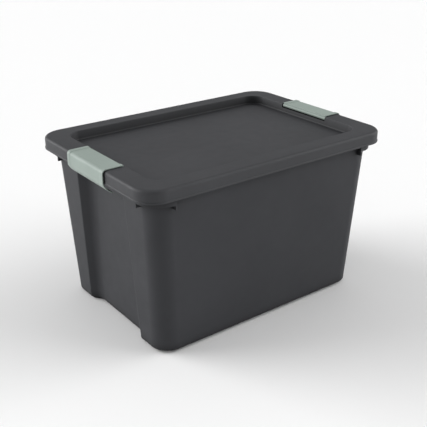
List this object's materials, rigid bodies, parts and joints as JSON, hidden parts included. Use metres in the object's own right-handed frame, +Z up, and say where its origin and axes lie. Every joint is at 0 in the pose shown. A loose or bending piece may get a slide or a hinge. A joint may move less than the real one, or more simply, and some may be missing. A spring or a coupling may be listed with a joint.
{
  "type": "latch tote",
  "caption": "Tapered plastic storage tote with a lift-off lid, a stacking recess in the lid, a grooved grip in each end wall and a snap latch at each end.",
  "frame": {"origin": "middle of the footprint, on the surface that the tote stands on", "axes": "+X along the length towards the right-hand latch, +Y across the width, +Z up through the lid"},
  "size_m": [0.7076, 0.4904, 0.4229],
  "materials": {
    "tub_plastic": "fine-textured charcoal polypropylene",
    "lid_plastic": "fine-textured charcoal polypropylene",
    "latch_plastic": "satin sage-green polypropylene"
  },
  "bodies": {
    "tub": {"tub": "tub_plastic"},
    "lid": {"lid": "lid_plastic"},
    "latch_left": {"latch_left": "latch_plastic"},
    "latch_right": {"latch_right": "latch_plastic"}
  },
  "joints": [
    {"name": "lid_lift", "type": "slide", "parent": "tub", "child": "lid", "axis": [0, 0, 1], "range_m": [0, 0.25]},
    {"name": "latch_left_hinge", "type": "hinge", "parent": "lid", "child": "latch_left", "pos_m": [-0.303, 0, 0.415], "axis": [0, 1, 0], "range_deg": [0, 110]},
    {"name": "latch_right_hinge", "type": "hinge", "parent": "lid", "child": "latch_right", "pos_m": [0.303, 0, 0.415], "axis": [0, -1, 0], "range_deg": [0, 110]}
  ]
}
